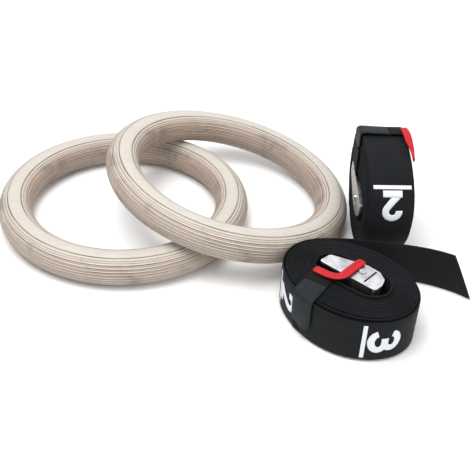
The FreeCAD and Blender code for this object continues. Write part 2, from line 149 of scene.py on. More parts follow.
# ---- node materials -----------------------------------------------------------
class Look:
    """A procedural material on one Principled shader."""

    def __init__(self, name, rough=0.5, metal=0.0):
        self.mat = bpy.data.materials.new(name)
        self.mat.use_nodes = True
        self.tree = self.mat.node_tree
        self.bsdf = self.tree.nodes["Principled BSDF"]
        self.bsdf.inputs["Roughness"].default_value = rough
        self.bsdf.inputs["Metallic"].default_value = metal

    def put(self, socket, value):
        if isinstance(value, bpy.types.NodeSocket):
            self.tree.links.new(value, socket)
        elif hasattr(value, "__len__") and len(value) == 3 and socket.type == "RGBA":
            socket.default_value = (*value, 1.0)
        else:
            socket.default_value = value

    def node(self, kind, out=0, setup=None, **inputs):
        n = self.tree.nodes.new(kind)
        for key, value in (setup or {}).items():
            setattr(n, key, value)
        for key, value in inputs.items():
            self.put(n.inputs[int(key[1:]) if key[0] == "i" and key[1:].isdigit() else key], value)
        return n.outputs[out]

    def calc(self, op, a, b=0.0):
        return self.node("ShaderNodeMath", setup={"operation": op}, i0=a, i1=b)

    def ramp(self, value, low, high, to_low=0.0, to_high=1.0):
        n = self.tree.nodes.new("ShaderNodeMapRange")
        n.interpolation_type = "SMOOTHSTEP"
        for key, v in (("Value", value), ("From Min", low), ("From Max", high),
                       ("To Min", to_low), ("To Max", to_high)):
            self.put(n.inputs[key], v)
        return n.outputs[0]

    def mix(self, fac, a, b):
        n = self.tree.nodes.new("ShaderNodeMix")
        n.data_type = "RGBA"
        self.put(n.inputs[0], fac)
        self.put(n.inputs[6], a)
        self.put(n.inputs[7], b)
        return n.outputs[2]

    def noise(self, vec, scale, detail=3.0, rough=0.55):
        return self.node("ShaderNodeTexNoise", Vector=vec, Scale=scale, Detail=detail,
                         Roughness=rough)

    def stretch(self, vec, scale):
        return self.node("ShaderNodeVectorMath", setup={"operation": "MULTIPLY"}, i0=vec, i1=scale)

    def split(self, vec):
        n = self.tree.nodes.new("ShaderNodeSeparateXYZ")
        self.put(n.inputs[0], vec)
        return n.outputs

    def colour(self, value):
        self.put(self.bsdf.inputs["Base Color"], value)

    def rough(self, value):
        self.put(self.bsdf.inputs["Roughness"], value)

    def bump(self, height, distance, strength=0.6):
        out = self.node("ShaderNodeBump", Strength=strength, Distance=distance, Height=height)
        self.put(self.bsdf.inputs["Normal"], out)


def object_coords(look):
    return look.node("ShaderNodeTexCoord", out=3)


def layout_coords(look):
    return look.node("ShaderNodeAttribute", out=1, setup={"attribute_name": "layout"})


FACE_VENEER, LONG_GRAIN = (0.555, 0.515, 0.462), (0.700, 0.615, 0.530)
END_GRAIN, PORE = (0.450, 0.365, 0.300), (0.330, 0.255, 0.200)
# the bore colour is partly the wood's own warmer tone on the ring's inner side and partly painted
# shade
BORE_TONE_AND_SHADE, STAIN = (0.400, 0.275, 0.212), (0.215, 0.190, 0.172)
GLUE_LINE = (0.050, 0.031, 0.022)


def plywood(name):
    """Parallel veneers: their glue lines show round the whole section."""
    k = Look(name, 0.6)
    pos = layout_coords(k)
    x, y, z = k.split(pos)
    high = k.calc("ABSOLUTE", z)
    drift = k.calc("MULTIPLY", k.calc("SUBTRACT", k.noise(pos, 22.0, 2.0), 0.5), 0.00022)
    raised = k.calc("ADD", k.calc("ADD", z, drift), PLIES / 2 * PLY * MM)
    layer = k.calc("DIVIDE", raised, PLY * MM)
    # the same line is seen wider where the surface runs flat, so it is drawn narrower there
    lean = k.calc("DIVIDE", z, GRIP_R * MM)
    steep = k.calc("SUBTRACT", 1.0, k.calc("MULTIPLY", lean, lean))
    steep = k.calc("SQRT", k.calc("SQRT", k.calc("MAXIMUM", steep, 0.02)))
    fade = k.noise(k.stretch(pos, (14.0, 14.0, 900.0)), 1.0, 2.0)
    wide = k.calc("MULTIPLY", k.ramp(fade, 0.34, 0.66, 0.38, 0.50), steep)
    # each line has a strength of its own, and none is drawn past the outermost
    which = k.calc("FLOOR", k.calc("ADD", layer, 0.5))
    own = k.node("ShaderNodeTexWhiteNoise", setup={"noise_dimensions": "1D"}, W=which)
    own = k.calc("MAXIMUM", k.ramp(own, 0.0, 1.0, 0.52, 1.0), k.ramp(high, 0.0138, 0.0142))
    own = k.calc("MULTIPLY", own, k.ramp(high, 0.0156, 0.0153))
    glue = k.ramp(k.calc("PINGPONG", layer, 0.5), 0.02, wide, 1.0, 0.0)
    # every other veneer lies crosswise; the 40 keeps the count above zero
    odd = k.calc("MODULO", k.calc("FLOOR", k.calc("ADD", layer, 40.0)), 2.0)
    along = k.calc("POWER", k.calc("COSINE", k.calc("ARCTAN2", y, x)), 2.0)
    across = k.calc("SUBTRACT", 1.0, along)
    side = k.ramp(high, 0.0150, 0.0105)
    end = k.calc("MULTIPLY", k.node("ShaderNodeMix", Factor=odd, A=across, B=along), side)
    grain_a = k.noise(k.stretch(pos, (60.0, 1300.0, 1300.0)), 1.0, 4.0)
    grain_b = k.noise(k.stretch(pos, (1300.0, 60.0, 1300.0)), 1.0, 4.0)
    grain = k.node("ShaderNodeMix", Factor=odd, A=grain_a, B=grain_b)
    base = k.mix(side, FACE_VENEER, LONG_GRAIN)
    base = k.mix(end, base, END_GRAIN)
    base = k.mix(k.ramp(grain, 0.42, 0.72, 0.0, 0.32), base, PORE)
    # the inner side of the ring is painted darker and warmer: partly the wood's own tone, partly
    # painted shade where the ring shades itself
    bore = k.calc("SQRT", k.calc("ADD", k.calc("MULTIPLY", x, x), k.calc("MULTIPLY", y, y)))
    bore_tone_and_shade = k.calc("MULTIPLY", k.ramp(bore, 0.104, 0.094, 0.0, 0.45), side)
    base = k.mix(bore_tone_and_shade, base, BORE_TONE_AND_SHADE)
    stain = k.calc("MULTIPLY", k.ramp(k.noise(pos, 36.0, 5.0), 0.52, 0.70, 0.0, 0.62), side)
    base = k.mix(stain, base, STAIN)
    dark = k.ramp(k.noise(k.stretch(pos, (30.0, 30.0, 300.0)), 1.0, 2.0), 0.34, 0.62, 0.72, 1.0)
    seam = k.calc("MULTIPLY", k.calc("MULTIPLY", glue, dark), own)
    k.colour(k.mix(seam, base, GLUE_LINE))
    k.rough(k.ramp(grain, 0.3, 0.7, 0.5, 0.74))
    relief = k.calc("SUBTRACT", grain, k.calc("MULTIPLY", glue, 1.2))
    k.bump(relief, 0.00014, 0.6)
    return k.mat


def webbing(name, dark, light, ink=False):
    """Ribbed weave: weft ribs across the strap, yarns staggered along it."""
    k = Look(name, 0.68)
    u, v, _ = k.split(layout_coords(k))
    pos = object_coords(k)
    sway = k.calc("MULTIPLY", k.noise(pos, 160.0, 2.0), 0.0011)
    rib = k.calc("DIVIDE", k.calc("PINGPONG", k.calc("ADD", u, sway), RIB), RIB)
    row = k.calc("MODULO", k.calc("FLOOR", k.calc("DIVIDE", k.calc("ADD", u, 8.0), 2 * RIB)), 2.0)
    yarn_at = k.calc("ADD", v, k.calc("MULTIPLY", row, YARN))
    yarn = k.calc("DIVIDE", k.calc("PINGPONG", k.calc("ADD", yarn_at, 1.0), YARN), YARN)
    weave = k.calc("ADD", k.calc("MULTIPLY", k.calc("SQRT", rib), 0.68),
                   k.calc("MULTIPLY", yarn, 0.32))
    fuzz = k.noise(pos, 2600.0, 2.0)
    worn = k.ramp(k.noise(pos, 38.0, 3.0), 0.4, 0.72, 0.0, 0.4)
    body = k.mix(k.ramp(weave, 0.30, 1.0), dark, light)
    body = k.mix(k.calc("MULTIPLY", worn, fuzz), body, light)
    if ink:
        thin = k.ramp(k.calc("ADD", weave, k.calc("MULTIPLY", fuzz, 0.5)), 0.35, 0.75, 0.5, 0.0)
        body = k.mix(thin, body, (0.20, 0.22, 0.28))
    k.colour(body)
    k.bsdf.inputs["Sheen Weight"].default_value = 0.02
    k.bsdf.inputs["Sheen Roughness"].default_value = 0.5
    k.bsdf.inputs["Specular IOR Level"].default_value = 0.5 if ink else 0.12
    k.bump(k.calc("ADD", weave, k.calc("MULTIPLY", fuzz, 0.25)), 0.0003, 0.6)
    return k.mat


def fabric(name, dark, light, scale, rough, sheen, gloss):
    """Plain soft fabric: fine nap over a slow change of tone."""
    k = Look(name, rough)
    pos = object_coords(k)
    nap = k.noise(pos, scale, 4.0, 0.7)
    slow = k.noise(pos, 55.0, 3.0)
    k.colour(k.mix(k.calc("MULTIPLY", k.calc("ADD", nap, slow), 0.5), dark, light))
    k.rough(k.ramp(slow, 0.3, 0.7, rough - 0.08, rough + 0.1))
    k.bsdf.inputs["Sheen Weight"].default_value = sheen
    k.bsdf.inputs["Specular IOR Level"].default_value = gloss
    k.bump(nap, 0.00015, 0.4)
    return k.mat


def metal(name, bright, dull, rough, brushed):
    """Cast or drawn metal with fine pits, handling marks and worn patches."""
    k = Look(name, rough, 1.0)
    pos = object_coords(k)
    grit = k.noise(k.stretch(pos, brushed), 1.0, 4.0)
    worn = k.noise(pos, 120.0, 4.0)
    k.colour(k.mix(k.ramp(worn, 0.42, 0.72, 0.0, 0.7), bright, dull))
    k.rough(k.ramp(k.calc("ADD", k.calc("MULTIPLY", worn, 0.5), k.calc("MULTIPLY", grit, 0.5)),
                   0.3, 0.7, rough - 0.08, rough + 0.14))
    k.bump(grit, 0.00008, 0.35)
    return k.mat


WOOD = plywood("plywood")
WEB = webbing("webbing_black", (0.0022, 0.0026, 0.0032), (0.0140, 0.0165, 0.0195))
INK = webbing("scale_white", (0.74, 0.76, 0.82), (0.86, 0.87, 0.91), ink=True)
TIE = fabric("tie_grey", (0.0065, 0.0088, 0.0104), (0.0150, 0.0189, 0.0208),
             scale=1800.0, rough=0.62, sheen=0.03, gloss=0.18)
HOOK = fabric("tie_hook_black", (0.003, 0.003, 0.0035), (0.011, 0.011, 0.012),
              scale=1300.0, rough=0.8, sheen=0.02, gloss=0.12)
RED = fabric("tab_red", (0.36, 0.004, 0.009), (0.60, 0.014, 0.024),
             scale=900.0, rough=0.50, sheen=0.05, gloss=0.25)
CAST = metal("buckle_cast", (0.63, 0.64, 0.66), (0.40, 0.41, 0.43),
             rough=0.30, brushed=(700.0, 700.0, 700.0))
STEEL = metal("steel_drawn", (0.60, 0.60, 0.61), (0.38, 0.38, 0.39),
              rough=0.26, brushed=(300.0, 300.0, 2600.0))


# ---- rings --------------------------------------------------------------------
def ring_profile():
    """Angles round the grip: close together at each glue line."""
    out = []
    for side in (0, 1):
        for j in range(PLIES + 1):
            h = (j - PLIES / 2) * PLY
            for dz in NEAR_LINE:
                s = max(-1.0, min(1.0, (h + dz) / GRIP_R))
                if abs(s) < 1.0:
                    a = math.asin(s)
                    groove = 1.0 if dz == 0.0 else 0.0
                    out.append((a if side == 0 else math.pi - a, groove, h))
    out += [(math.pi / 2 + d, 0.0, 0.0) for d in (-0.12, 0.0, 0.12)]
    out += [(-math.pi / 2 + d, 0.0, 0.0) for d in (-0.12, 0.0, 0.12)]
    out = [((a + math.pi / 2) % (2 * math.pi), g, h) for a, g, h in out]
    out.sort()
    kept = [out[0]]
    for item in out[1:]:
        if item[0] - kept[-1][0] > 0.004:
            kept.append(item)
    return [(a - math.pi / 2, g, h) for a, g, h in kept]


def build_ring(name, node, normal, body):
    """Torus whose glue lines are shallow grooves of uneven depth."""
    profile = ring_profile()
    count = len(profile)
    turn = Vector((0, 0, 1)).rotation_difference(normal).to_matrix()
    hub = centre(node)
    verts, layout = [], []
    for i in range(RING_STEPS):
        phi = 2 * math.pi * i / RING_STEPS
        c, s = math.cos(phi), math.sin(phi)
        for a, groove, h in profile:
            uneven = noise.noise(Vector((c * 4.0, s * 4.0, h * 2.7)))
            r = (GRIP_R - groove * (GROOVE + GROOVE_VARIES * uneven)
                 - DENT * max(0.0, uneven))
            out = RING_R + r * math.cos(a)
            local = Vector((out * c, out * s, r * math.sin(a))) * MM
            layout.append(local)
            verts.append(hub + turn @ local)
    faces = []
    for i in range(RING_STEPS):
        n = (i + 1) % RING_STEPS
        for j in range(count):
            k = (j + 1) % count
            faces.append((i * count + j, n * count + j, n * count + k, i * count + k))
    return settle(make(name, verts, faces, WOOD, layout), body, "plywood", node)


build_ring("ring_left_wood", "ring_left", Vector((0, 0, 1)), "ring_left")
build_ring("ring_right_wood", "ring_right", RIGHT_NORMAL, "ring_right")


# ---- coils ----------------------------------------------------------------------
def stadium(p):
    """Distance outside the coil's hole."""
    x = max(-HOLE_HALF, min(HOLE_HALF, p.x))
    return (p - Vector((x, HOLE_Y))).length - HOLE_R


def crossing(inside, start, way, far):
    """How far from start the test changes sign."""
    low, high = 0.0, far
    for _ in range(40):
        mid = (low + high) / 2
        if inside(start + way * mid):
            low = mid
        else:
            high = mid
    return low


class Coil:
    """One coiled strap: its frame, its outline and its centre line."""

    def __init__(self, name, matrix, a, b, lean, buckle_up, seed):
        self.name, self.matrix, self.buckle_up, self.seed = name, matrix, buckle_up, seed
        self.a, self.b, self.lean = a, b, math.radians(lean)
        self.shift = None       # a function of length, set when the path is laid

    def in_oval(self, p):
        c, s = math.cos(self.lean), math.sin(self.lean)
        x, y = c * p.x + s * p.y, -s * p.x + c * p.y
        return (x / self.a) ** 2 + (y / self.b) ** 2 < 1.0

    def at(self, x, y, z):
        return self.matrix @ (Vector((x, y, z)) * MM)

    def spiral(self, start, end, turns, share, loose=None):
        """Turns from the hole to the oval, clockwise, as the angle falls."""
        hub = Vector((0.0, HOLE_Y))
        out = []
        steps = int(turns * 120)
        for i in range(steps + 1):
            t = i / steps
            ang = start + (end - start) * t
            way = Vector((math.cos(ang), math.sin(ang)))
            r0 = crossing(lambda p: stadium(p) < 0, hub, way, FAR)
            r1 = crossing(self.in_oval, hub, way, FAR)
            tilt = abs(way.y) if r0 * abs(math.cos(ang)) < HOLE_HALF else 1.0
            inner = r0 + WEB_T / 2 / max(0.6, tilt)
            outer = r1 - WEB_T / 2
            slack = loose(ang, (1.0 - t) * turns) if loose else 0.0
            out.append(hub + way * (inner + (outer - inner) * share(t) + slack))
        return out

    def set_path(self, points):
        """Centre line through the points, smoothed twice and evenly spaced."""
        pts = spline(points, LINE_STEP)
        for _ in range(2):
            pts = [pts[0]] + [a * 0.25 + b * 0.5 + c * 0.25 for a, b, c in
                              zip(pts, pts[1:], pts[2:])] + [pts[-1]]
        self.line = resample(pts, LINE_STEP)
        self.length = sum((b - a).length for a, b in zip(self.line, self.line[1:]))
        self.step = self.length / (len(self.line) - 1)

    def on(self, u):
        """Centre-line point and outward normal at a length along the strap."""
        f = max(0.0, min(self.length, u)) / self.step
        i = min(int(f), len(self.line) - 2)
        p = self.line[i].lerp(self.line[i + 1], f - i)
        a, b = self.line[max(i - 1, 0)], self.line[min(i + 2, len(self.line) - 1)]
        c, d = self.line[i], self.line[i + 1]
        t = ((c - a) if i else (d - c)).lerp((b - d) if i + 2 < len(self.line) else (d - c), f - i)
        t = (t.normalized() + (d - c).normalized()).normalized()
        return p, Vector((-t.y, t.x))

    def lift(self, u):
        """How far the strap is shifted across, at a length along it."""
        return self.shift(u) + 0.45 * wobble(u / 90.0, self.seed)

    def surface(self, u, v, out):
        p, n = self.on(u)
        p = p + n * out
        return self.at(p.x, p.y, v + self.lift(u))


SEWN = [(1.4, 5.6), (0.4, 9.0), (-0.3, 13.5), (-1.1, 18.0),
        (1.0, 21.4), (4.8, 23.8), (9.8, 25.0), (21.3, 25.1)]
EYE = [(2.9, 9.6), (5.4, 8.9), (7.6, 7.8), (8.45, 5.6),
       (7.5, 3.3), (5.2, 2.35), (2.9, 3.2), (1.2, 5.4)]


def sewn_points():
    """Free end, back along the inner layer, round the bar, out again."""
    path = [Vector(p) for p in SEWN]
    side = []
    for i, p in enumerate(path):
        t = (path[min(i + 1, len(path) - 1)] - path[max(i - 1, 0)]).normalized()
        side.append(Vector((-t.y, t.x)) * 0.62)
    inner = [p - s for p, s in zip(path, side)][:1:-1]
    outer = [p + s for p, s in zip(path, side)][2:]
    return [p + TIP for p in inner + [Vector(p) for p in EYE] + outer]


def section(t):
    """Webbing cross-section, (out, across), with rounded selvedges."""
    h, w = t / 2, WEB_W / 2
    right = [(-h, w - 0.75), (-h * 0.55, w - 0.12), (0, w), (h * 0.55, w - 0.12), (h, w - 0.75)]
    top = [(h, w * f) for f in (0.5, 0.0, -0.5)]
    left = [(o, -a) for o, a in reversed(right)]
    return right + top + left + [(-o, -a) for o, a in top]


def build_strap(coil, slant, nodes):
    """The whole strap as one closed band; slant cuts back one edge of its free end."""
    count = len(coil.line)
    verts, strap = [], []
    for i in range(count):
        u = coil.length * i / (count - 1)
        t = WEB_T - SEWN_THIN * (1.0 - smoothstep((u - SEWN_TO) / SEWN_EASE))
        if i in (0, count - 1):
            t *= END_THIN
        late = max(0.0, (u - coil.length + SLANT_OVER) / SLANT_OVER)
        for out, v in section(t):
            w = u - slant * ((v + WEB_W / 2) / WEB_W) * late
            edge = EDGE_WAVE * wobble(u / 3.0, 5.0) if abs(v) > 19 else 0.0
            verts.append(coil.surface(w, v + edge, out))
            strap.append((w * MM, v * MM, out * MM))
    obj = make(coil.name + "_strap", verts, loft_faces(count, len(section(1.0))), WEB, strap)
    return settle(obj, coil.name + "_coil", "webbing", *nodes)


# ---- printed scale ---------------------------------------------------------------
def arc(cx, cy, rx, ry, a0, a1):
    n = 16
    angles = [math.radians(a0 + (a1 - a0) * i / n) for i in range(n + 1)]
    return [Vector((cx + rx * math.cos(a), cy + ry * math.sin(a))) for a in angles]


def line(*pts):
    return [Vector(p) for p in pts]


STROKE = 6.1
BAR_LONG, BAR_WIDE, BAR_GAP = 34.5, 3.5, 1.6    # bar, and the numeral's distance from it
MARK_GAP = 100
INK_T, INK_STEP, INK_SUNK = 0.10, 0.012, 0.02   # each later stroke lies a little higher
GLYPHS = {
    "1": (12.0, [line((8.4, 0.0), (8.4, 28.0)), line((2.0, 21.5), (6.8, 25.6))]),
    "2": (17.5, [arc(8.75, 19.2, 6.15, 6.2, 190, -32) + line((9.5, 10.0), (5.2, 5.4), (3.6, 3.2)),
                 line((0.0, 2.6), (17.5, 2.6))]),
    "3": (22.0, [arc(10.6, 19.5, 7.6, 5.9, 172, -72), arc(10.9, 8.7, 8.5, 6.1, 72, -172),
                 line((7.6, 14.2), (13.4, 14.2))]),
    "4": (20.0, [line((15.0, 0.0), (15.0, 28.0)), line((15.0, 26.0), (3.2, 9.4)),
                 line((0.6, 8.0), (20.0, 8.0))]),
}


def ribbon(points, width):
    """Grid of glyph points over one stroke, five across."""
    pts = spline(points, 1.1)
    rows = []
    for i, p in enumerate(pts):
        t = (pts[min(i + 1, len(pts) - 1)] - pts[max(i - 1, 0)]).normalized()
        n = Vector((-t.y, t.x))
        rows.append([p + n * (width * (k / 4 - 0.5)) for k in range(5)])
    return rows


def add_print(coil, rows, to_strap, lift, verts, faces, strap):
    """One stroke as a thin closed layer of ink on the strap's outer face."""
    base = len(verts)
    per = len(rows) * 5
    for out in (WEB_T / 2 + lift, WEB_T / 2 - INK_SUNK):
        for row in rows:
            for g in row:
                u, v = to_strap(g)
                verts.append(coil.surface(u, v, out))
                strap.append((u * MM, v * MM, out * MM))
    n = len(rows)

    def top(i, k):
        return base + i * 5 + k

    for i in range(n - 1):
        for k in range(4):
            q = (top(i, k), top(i + 1, k), top(i + 1, k + 1), top(i, k + 1))
            faces.append(q)
            faces.append(tuple(x + per for x in reversed(q)))
        for k in (0, 4):
            q = (top(i, k), top(i + 1, k), top(i + 1, k) + per, top(i, k) + per)
            faces.append(tuple(reversed(q)) if k == 0 else q)
    for i in (0, n - 1):
        for k in range(4):
            q = (top(i, k), top(i, k + 1), top(i, k + 1) + per, top(i, k) + per)
            faces.append(q if i == 0 else tuple(reversed(q)))


def build_mark(coil, digit, u_bar):
    """Bar and numeral; the numeral stands on the bar, away from the free end."""
    verts, faces, strap = [], [], []
    bar = ribbon(line((0.0, 0.0), (BAR_LONG, 0.0)), BAR_WIDE)
    add_print(coil, bar, lambda g: (u_bar - g.y, BAR_LONG / 2 - g.x), INK_T,
              verts, faces, strap)
    wide, strokes = GLYPHS[digit]
    foot = u_bar - BAR_WIDE / 2 - BAR_GAP
    for n, pts in enumerate(strokes):
        rows = ribbon(pts, STROKE)
        add_print(coil, rows, lambda g: (foot - g.y, wide / 2 - g.x), INK_T + INK_STEP * n,
                  verts, faces, strap)
    obj = make("%s_mark_%s" % (coil.name, digit), verts, faces, INK, strap)
    return settle(obj, coil.name + "_coil", "webbing")


# ---- ties -------------------------------------------------------------------------
class Wall:
    """The coil wall under a tie: where it starts and ends across the tie."""

    def __init__(self, coil, point, turn, side):
        self.coil, self.side = coil, side
        self.point = Vector(point)
        self.x = Vector((math.cos(turn), math.sin(turn)))
        self.y = Vector((-self.x.y, self.x.x))

    def hole(self, y):
        start = self.point + self.y * y
        return -crossing(lambda p: stadium(p) > 0, start, -self.x, 60.0)

    def rim(self, y):
        start = self.point + self.y * y
        return crossing(self.coil.in_oval, start, self.x, FAR)

    def world(self, s, y, z):
        p = self.point + self.x * s + self.y * y
        return self.coil.at(p.x, p.y, z + self.side)


def rounded(points, r):
    """Outline of (s, z) points with its corners rounded off."""
    out = [Vector(points[0])]
    for a, b, c in zip(points, points[1:], points[2:]):
        a, b, c = Vector(a), Vector(b), Vector(c)
        r1 = min(r, (a - b).length * 0.45, (c - b).length * 0.45)
        p, q = b + (a - b).normalized() * r1, b + (c - b).normalized() * r1
        out += [p.lerp(b, t).lerp(b.lerp(q, t), t) for t in (0.0, 0.25, 0.5, 0.75, 1.0)]
    out.append(Vector(points[-1]))
    return out


def build_band(node, wall, route, round_at, bend, mat, slot):
    """Soft band of fabric along a route; route(y) gives its (s, z) corners.

    round_at rounds the free end, and bend is the radius of each fold.
    """
    name = node + "_cloth"
    rows, cols = 90, 13
    half, thick = TIE_W / 2 - 0.2, 0.62
    across = [half * (2 * j / (cols - 1) - 1) for j in range(cols)]
    grid = []
    for y in across:
        pts = resample(rounded(route(y), bend), 1.0)
        n = len(pts) - 1
        col = []
        for i in range(rows):
            f = i / (rows - 1) * n
            k = min(int(f), n - 1)
            col.append(pts[k].lerp(pts[k + 1], f - k))
        grid.append(col)
    middle = grid[cols // 2]
    length = sum((b - a).length for a, b in zip(middle, middle[1:]))
    verts = []
    for side in (1, -1):
        for i in range(rows):
            left = length * (1 - i / (rows - 1))
            for j, y in enumerate(across):
                if round_at and left < round_at:
                    cut = round_at - math.sqrt(max(0.0, round_at ** 2 - (round_at - left) ** 2))
                    y *= (half - cut) / half
                p = grid[j][i]
                a, b = grid[j][max(i - 1, 0)], grid[j][min(i + 1, rows - 1)]
                t = (b - a).normalized()
                edge = 1.0 - 0.55 * smoothstep((abs(y) - half + 1.2) / 1.2)
                if i in (0, rows - 1):
                    edge *= 0.5
                soft = 0.10 * wobble(i * 0.13 + j * 0.2, len(name))
                n = Vector((-t.y, t.x)) * (thick * edge * side + soft)
                verts.append(wall.world(p.x + n.x, y, p.y + n.y))
    per = rows * cols
    faces = []
    for i in range(rows - 1):
        for j in range(cols - 1):
            q = (i * cols + j, i * cols + j + 1, (i + 1) * cols + j + 1, (i + 1) * cols + j)
            faces.append(q)
            faces.append(tuple(x + per for x in reversed(q)))
    rim = list(range(cols)) + [i * cols + cols - 1 for i in range(1, rows)]
    rim += [(rows - 1) * cols + j for j in range(cols - 2, -1, -1)]
    rim += [i * cols for i in range(rows - 2, 0, -1)]
    for a, b in zip(rim, rim[1:] + rim[:1]):
        faces.append((b, a, a + per, b + per))
    obj = make(name, verts, faces, mat)
    settle(obj, wall.coil.name + "_coil", slot, node)


def build_tab(coil, points, sides, wide):
    """Red tab: two soft ribs side by side with a groove between them.

    Each point of its line comes with the direction of the tab's width.
    """
    rows = spline([Vector((*p, *w)) for p, w in zip(points, sides)], 0.8)
    n = len(rows)
    half, rib = wide / 2, wide / 4 + 0.05
    ring = []
    for k in range(36):
        a = 2 * math.pi * k / 36
        v = half * math.cos(a)
        lobe = math.sqrt(max(0.0, 1 - ((abs(v) - half / 2) / rib) ** 2))
        ring.append((v, math.copysign(max(0.20, 1.2 * lobe), math.sin(a)) if k % 18 else 0.0))
    verts = []
    for i, row in enumerate(rows):
        p, side = row.to_3d(), Vector(row[3:]).normalized()
        t = (rows[min(i + 1, n - 1)] - rows[max(i - 1, 0)]).to_3d().normalized()
        up = t.cross(side).normalized()
        end = min(i, n - 1 - i) * 0.8
        grow = math.sqrt(max(0.04, 1 - (1 - min(1.0, end / 2.6)) ** 2))
        for v, h in ring:
            q = p + side * (v * grow * (1 + 0.05 * wobble(i * 0.11, 2.0))) + up * (h * grow)
            verts.append(coil.at(q.x, q.y, q.z))
    obj = make(coil.name + "_red_tab", verts, loft_faces(n, len(ring)), RED)
    settle(obj, coil.name + "_coil", "red_tab", coil.name + "_pull_tab")


# ---- placing both coils --------------------------------------------------------------
flat_m = Matrix.Translation(centre("flat_webbing_roll")) @ Matrix.Rotation(FLAT_TURN, 4, "Z")
# the upright coil's axis, and its own two directions across, cu and cw
axis = Vector((math.cos(YAW), math.sin(YAW), 0))
back = Vector((-math.sin(YAW), math.cos(YAW), 0))
cu = back * -math.cos(DIP) - Vector((0, 0, math.sin(DIP)))
cw = back * math.sin(DIP) - Vector((0, 0, math.cos(DIP)))
up_m = Matrix((cu, cw, axis)).transposed().to_4x4()
up_m.translation = centre("upright_webbing_roll")

flat = Coil("flat", flat_m, a=64.0, b=48.5, lean=0.0, buckle_up=3.6, seed=3.0)
upright = Coil("upright", up_m, a=58.0, b=54.5, lean=71.6, buckle_up=-1.5, seed=8.0)


def to_coil(b, c):
    """Point on the upright coil, given back from the middle and up."""
    return Vector((-math.cos(DIP) * b - math.sin(DIP) * c,
                   math.sin(DIP) * b - math.cos(DIP) * c))


def over_top(angle, off=0.0):
    """Point off the upright coil's outline, by its angle over the top."""
    return to_coil(-math.cos(angle) * (upright.b + off), math.sin(angle) * (upright.a + off))


# flat coil: leaves on its far side and runs off to the right
TAIL = [(110.0, -52.0), (127.0, -52.6), (145.0, -54.1), (164.0, -56.3), (180.0, -59.3),
        (193.0, -63.0), (204.0, -67.6), (213.0, -72.3), (224.2, -80.25)]
TAIL_Z = 21.8                   # height of the middle of the free end
LEAVE = (92.5, -52.1)           # where the free end leaves the roll
TURNS, FLAT_TURNS = 14, 13.75   # whole turns to unwind, and turns drawn
UP_LEAST = 13.2                 # fewest turns of the upright coil
LOOSE_AT, LOOSE_SPAN, LOOSE_BY = math.radians(-58.0), math.radians(75.0), 4.6
FIRST = math.radians(58.0)      # where both spirals begin, at the sewn end
inverse = flat_m.inverted()


def in_flat(x, y):
    """A place in the frame, as seen in the flat coil's own plane."""
    p = (inverse @ (Vector((x, y, TAIL_Z)) * MM)) / MM
    return Vector((p.x, p.y))


def front_slack(ang, turns_left):
    """The last turns hang a little loose at the front."""
    off = abs((ang - LOOSE_AT + math.pi) % (2 * math.pi) - math.pi)
    return LOOSE_BY * smoothstep(1.0 - off / LOOSE_SPAN) * smoothstep(1.0 - turns_left / 2.2)


def flat_share(t):
    """Even turns, the last one standing off a little."""
    return t + 0.032 * smoothstep((t - 0.93) / 0.07)


def flat_shift(u):
    """The buckle's end stands high and eases down."""
    return flat.buckle_up * (1 - smoothstep((u - SEAT) / FLAT_EASE))


leave = in_flat(*LEAVE)
leave_angle = math.atan2(leave.y - HOLE_Y, leave.x)
flat_spiral = flat.spiral(FIRST, leave_angle - 2 * math.pi * TURNS, FLAT_TURNS,
                          flat_share, front_slack)
flat.set_path(sewn_points() + flat_spiral + [in_flat(x, y) for x, y in TAIL])
flat.shift = flat_shift

# upright coil: past END_AT the strap runs on by OVER, on top of the turn before
END_AT, OVER = math.radians(172.0), math.radians(62.0)
end = over_top(END_AT)
last = math.atan2(end.y - HOLE_Y, end.x) - 2 * math.pi * TURNS
while last > FIRST - UP_LEAST * 2 * math.pi:
    last -= 2 * math.pi
rounds = (FIRST - last) / (2 * math.pi)
over_share = OVER / (FIRST - last + OVER)


def up_share(t):
    """Even turns, the overlapping end raised by about its own thickness."""
    raised = smoothstep((t - 1 + over_share * 2) / (over_share * 1.2))
    return t / (1 - over_share) * 0.985 + 0.040 * raised


upright.set_path(sewn_points() + upright.spiral(FIRST, last - OVER, rounds, up_share))

UP_TIE_AT = math.radians(-108.4)
TOP_SHIFT, TOP_SPAN = -5.0, 1.5     # how far over its top stands; radians to fade out
PROUD = 2.8                         # how far its inner turns stand out of the face


def upright_shift(u):
    """Inner turns stand a little proud on one side, less so under the tie."""
    p, _ = upright.on(u)
    near = math.atan2(p.y - HOLE_Y, p.x) - UP_TIE_AT
    near = abs((near + math.pi) % (2 * math.pi) - math.pi)
    top = TOP_SHIFT * smoothstep(1.0 - near / TOP_SPAN)
    free = smoothstep((near - 0.45) / 0.6)
    ease = smoothstep((u - SEAT) / UP_EASE)
    share = u / upright.length
    proud = PROUD * free * (1 - smoothstep((share - 0.35) / 0.6))
    return upright.buckle_up * (1 - ease) + (top - proud) * ease


upright.shift = upright_shift

flat_strap = build_strap(flat, FREE_CUT,
                         ["flat_webbing_roll", "flat_webbing_tail", "flat_anchor_loop"])
up_strap = build_strap(upright, 0.0,
                       ["upright_webbing_roll", "upright_webbing_tail", "upright_anchor_loop"])


def mark_at(coil, target, last_part):
    """Length at which the last part of the strap passes nearest a point."""
    start = coil.length - last_part
    best = min((i for i in range(len(coil.line)) if i * coil.step > start),
               key=lambda i: (coil.line[i] - target).length)
    return best * coil.step


# the marks that show are placed, and the others follow at even gaps
bar3 = mark_at(flat, in_flat(117.5, -160.0), 480.0)
bar2 = mark_at(upright, over_top(math.radians(33.0)), 330.0)
flat_marks = [build_mark(flat, d, bar3 + n * MARK_GAP) for n, d in enumerate("4321", -1)]
up_marks = [build_mark(upright, d, bar2 + n * MARK_GAP) for n, d in enumerate("321", -1)]

